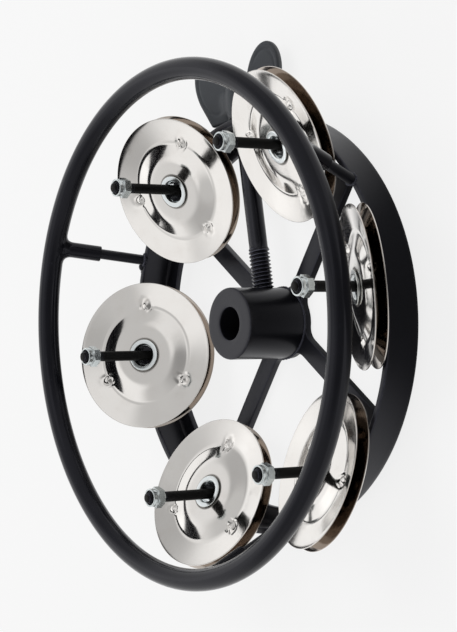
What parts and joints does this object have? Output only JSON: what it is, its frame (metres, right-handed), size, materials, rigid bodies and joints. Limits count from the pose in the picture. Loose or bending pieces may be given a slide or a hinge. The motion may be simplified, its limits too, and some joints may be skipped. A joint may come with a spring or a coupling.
{
  "type": "hi-hat tambourine",
  "caption": "Round metal frame on a clamping hub for a hi-hat rod, with a padded front ring, a wing screw and loose pairs of jingles on studs.",
  "frame": {"origin": "on the axis of the hub's bore, in the plane of the arms' rear face that the frame lies on", "axes": "+Z along the bore towards the front ring, +Y outwards along the wing screw, +X to the right seen from the front"},
  "size_m": [0.1922, 0.2016, 0.0543],
  "materials": {
    "painted_frame": "satin black paint",
    "ring_cover": "smooth satin black",
    "ring_core": "plain drawn steel",
    "zinc": "bright zinc plate",
    "eyelet": "bright plated, rolled lip",
    "jingle": "polished nickel plate",
    "nylon": "dull dark nylon",
    "wing": "fine-grained moulding"
  },
  "bodies": {
    "frame": {"spoke_spider": "painted_frame", "hub": "painted_frame", "rear_hoop": "painted_frame", "ring_core": "ring_core", "front_ring_cover": "ring_cover", "stand_off_rod_1": "painted_frame", "stand_off_rod_2": "painted_frame", "stand_off_rod_3": "painted_frame", "jingle_stud_1": "painted_frame", "jingle_stud_2": "painted_frame", "jingle_stud_3": "painted_frame", "jingle_stud_4": "painted_frame", "jingle_stud_5": "painted_frame", "jingle_stud_6": "painted_frame", "lock_nut_1": "zinc", "lock_nut_2": "zinc", "lock_nut_3": "zinc", "lock_nut_4": "zinc", "lock_nut_5": "zinc", "lock_nut_6": "zinc", "nut_insert_1": "nylon", "nut_insert_2": "nylon", "nut_insert_3": "nylon", "nut_insert_4": "nylon", "nut_insert_5": "nylon", "nut_insert_6": "nylon"},
    "screw": {"wing_screw": "painted_frame"},
    "wing": {"wing_head": "wing"},
    "pair_1": {"jingle_eyelet_1": "eyelet"},
    "pair_2": {"jingle_eyelet_2": "eyelet"},
    "pair_3": {"jingle_eyelet_3": "eyelet"},
    "pair_4": {"jingle_eyelet_4": "eyelet"},
    "pair_5": {"jingle_eyelet_5": "eyelet"},
    "pair_6": {"jingle_eyelet_6": "eyelet"},
    "front_1": {"front_jingle_1": "jingle"},
    "front_2": {"front_jingle_2": "jingle"},
    "front_3": {"front_jingle_3": "jingle"},
    "front_4": {"front_jingle_4": "jingle"},
    "front_5": {"front_jingle_5": "jingle"},
    "front_6": {"front_jingle_6": "jingle"},
    "rear_1": {"rear_jingle_1": "jingle"},
    "rear_2": {"rear_jingle_2": "jingle"},
    "rear_3": {"rear_jingle_3": "jingle"},
    "rear_4": {"rear_jingle_4": "jingle"},
    "rear_5": {"rear_jingle_5": "jingle"},
    "rear_6": {"rear_jingle_6": "jingle"}
  },
  "joints": [
    {"name": "screw_travel", "type": "slide", "parent": "frame", "child": "screw", "axis": [0, 1, 0], "range_m": [0, 0.00705]},
    {"name": "wing_turn", "type": "hinge", "parent": "screw", "child": "wing", "pos_m": [0, 0.0787, 0.0104], "axis": [0, 1, 0], "range_deg": [0, 1800]},
    {"name": "pair_1_slide", "type": "slide", "parent": "frame", "child": "pair_1", "axis": [0, 0, 1], "range_m": [0, 0.0096]},
    {"name": "pair_2_slide", "type": "slide", "parent": "frame", "child": "pair_2", "axis": [0, 0, 1], "range_m": [0, 0.0135]},
    {"name": "pair_3_slide", "type": "slide", "parent": "frame", "child": "pair_3", "axis": [0, 0, 1], "range_m": [0, 0.0135]},
    {"name": "pair_4_slide", "type": "slide", "parent": "frame", "child": "pair_4", "axis": [0, 0, 1], "range_m": [0, 0.0096]},
    {"name": "pair_5_slide", "type": "slide", "parent": "frame", "child": "pair_5", "axis": [0, 0, 1], "range_m": [0, 0.0135]},
    {"name": "pair_6_slide", "type": "slide", "parent": "frame", "child": "pair_6", "axis": [0, 0, 1], "range_m": [0, 0.0135]},
    {"name": "front_1_spin", "type": "hinge", "parent": "pair_1", "child": "front_1", "pos_m": [0.0683, 0, 0.02002], "axis": [-0.4848, 0, 0.8746], "continuous": true},
    {"name": "rear_1_spin", "type": "hinge", "parent": "pair_1", "child": "rear_1", "pos_m": [0.0683, 0, 0.02002], "axis": [-0.4848, 0, 0.8746], "continuous": true},
    {"name": "front_2_spin", "type": "hinge", "parent": "pair_2", "child": "front_2", "pos_m": [0.03415, 0.05915, 0.0201], "axis": [-0.1792, -0.3104, 0.9336], "continuous": true},
    {"name": "rear_2_spin", "type": "hinge", "parent": "pair_2", "child": "rear_2", "pos_m": [0.03415, 0.05915, 0.0201], "axis": [-0.1792, -0.3104, 0.9336], "continuous": true},
    {"name": "front_3_spin", "type": "hinge", "parent": "pair_3", "child": "front_3", "pos_m": [-0.03415, 0.05915, 0.0201], "axis": [0.1792, -0.3104, 0.9336], "continuous": true},
    {"name": "rear_3_spin", "type": "hinge", "parent": "pair_3", "child": "rear_3", "pos_m": [-0.03415, 0.05915, 0.0201], "axis": [0.1792, -0.3104, 0.9336], "continuous": true},
    {"name": "front_4_spin", "type": "hinge", "parent": "pair_4", "child": "front_4", "pos_m": [-0.0683, 0, 0.02002], "axis": [0.4848, 0, 0.8746], "continuous": true},
    {"name": "rear_4_spin", "type": "hinge", "parent": "pair_4", "child": "rear_4", "pos_m": [-0.0683, 0, 0.02002], "axis": [0.4848, 0, 0.8746], "continuous": true},
    {"name": "front_5_spin", "type": "hinge", "parent": "pair_5", "child": "front_5", "pos_m": [-0.03415, -0.05915, 0.0201], "axis": [0.1792, 0.3104, 0.9336], "continuous": true},
    {"name": "rear_5_spin", "type": "hinge", "parent": "pair_5", "child": "rear_5", "pos_m": [-0.03415, -0.05915, 0.0201], "axis": [0.1792, 0.3104, 0.9336], "continuous": true},
    {"name": "front_6_spin", "type": "hinge", "parent": "pair_6", "child": "front_6", "pos_m": [0.03415, -0.05915, 0.0201], "axis": [-0.1792, 0.3104, 0.9336], "continuous": true},
    {"name": "rear_6_spin", "type": "hinge", "parent": "pair_6", "child": "rear_6", "pos_m": [0.03415, -0.05915, 0.0201], "axis": [-0.1792, 0.3104, 0.9336], "continuous": true}
  ],
  "couplings": [
    {"joint": "wing_turn", "follows": "screw_travel", "rad_per_m": 4456.1}
  ]
}
